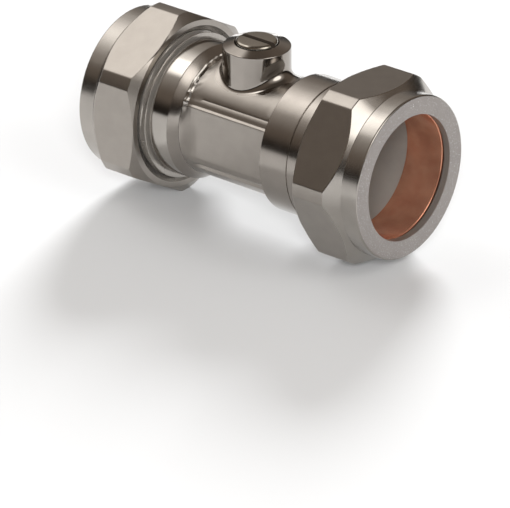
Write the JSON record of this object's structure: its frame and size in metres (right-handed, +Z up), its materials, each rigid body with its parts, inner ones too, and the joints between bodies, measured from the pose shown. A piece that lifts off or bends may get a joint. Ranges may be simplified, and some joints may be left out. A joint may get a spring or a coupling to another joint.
{
  "type": "isolating valve",
  "caption": "Straight ball valve with a slotted spindle in a short tower and a compression nut with a copper ring at each end, for joining and shutting off copper water pipe.",
  "frame": {"origin": "on the pipe axis at the middle of the valve's length", "axes": "+X along the pipe axis towards the end piece, +Z up the spindle's tower"},
  "size_m": [0.0616, 0.0336, 0.0337],
  "materials": {
    "chrome": "satin bright nickel and chrome plating on brass",
    "copper": "plain drawn copper",
    "ball_plating": "polished plating on brass",
    "spindle_brass": "plated brass",
    "ptfe": "white waxy plastic",
    "rubber": "black nitrile rubber"
  },
  "bodies": {
    "valve": {"body": "chrome", "end_piece": "chrome", "left_seat": "ptfe", "right_seat": "ptfe"},
    "spindle": {"spindle": "spindle_brass", "lower_o_ring": "rubber", "upper_o_ring": "rubber"},
    "ball": {"ball": "ball_plating"},
    "left_olive": {"left_olive": "copper"},
    "left_nut": {"left_nut": "chrome"},
    "right_olive": {"right_olive": "copper"},
    "right_nut": {"right_nut": "chrome"}
  },
  "joints": [
    {"name": "spindle_turn", "type": "hinge", "parent": "valve", "child": "spindle", "pos_m": [-0.0026, 0, 0.012], "axis": [0, 0, 1], "continuous": true},
    {"name": "ball_turn", "type": "hinge", "parent": "valve", "child": "ball", "pos_m": [-0.0026, 0, 0], "axis": [0, 0, 1], "continuous": true},
    {"name": "left_olive_slide", "type": "slide", "parent": "valve", "child": "left_olive", "axis": [-1, 0, 0], "range_m": [0, 0.0046]},
    {"name": "left_nut_turn", "type": "hinge", "parent": "left_olive", "child": "left_nut", "pos_m": [-0.024, 0, 0], "axis": [-1, 0, 0], "range_deg": [0, 1080]},
    {"name": "right_olive_slide", "type": "slide", "parent": "valve", "child": "right_olive", "axis": [1, 0, 0], "range_m": [0, 0.0046]},
    {"name": "right_nut_turn", "type": "hinge", "parent": "right_olive", "child": "right_nut", "pos_m": [0.024, 0, 0], "axis": [1, 0, 0], "range_deg": [0, 1080]}
  ],
  "couplings": [
    {"joint": "spindle_turn", "follows": "ball_turn", "ratio": 1},
    {"joint": "left_olive_slide", "follows": "left_nut_turn", "m_per_rad": 0.00023873},
    {"joint": "right_olive_slide", "follows": "right_nut_turn", "m_per_rad": 0.00023873}
  ]
}
